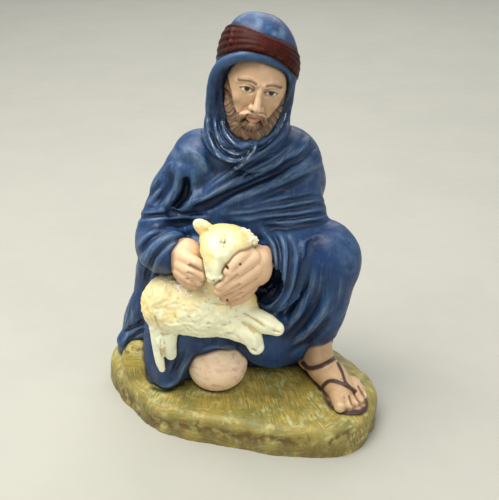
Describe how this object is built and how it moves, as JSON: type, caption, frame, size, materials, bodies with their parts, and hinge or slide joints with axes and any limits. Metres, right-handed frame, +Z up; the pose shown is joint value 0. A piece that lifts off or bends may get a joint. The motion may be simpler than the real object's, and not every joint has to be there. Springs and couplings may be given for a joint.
{
  "type": "nativity shepherd figurine",
  "caption": "Painted plaster figurine of a bearded shepherd kneeling on one knee with a lamb across the lap, cast in one with a low oval grassy mound.",
  "frame": {"origin": "middle of the mound's length and depth, on its flat underside", "axes": "+Z up from the underside, -Y the way the shepherd looks, X along the mound's length"},
  "size_m": [0.132, 0.0944, 0.188],
  "materials": {
    "painted_plaster": "hand-painted, satin cloth and grass, matt skin and fleece, worn on the ridges"
  },
  "bodies": {
    "root": {"shepherd_with_lamb": "painted_plaster"}
  },
  "joints": []
}
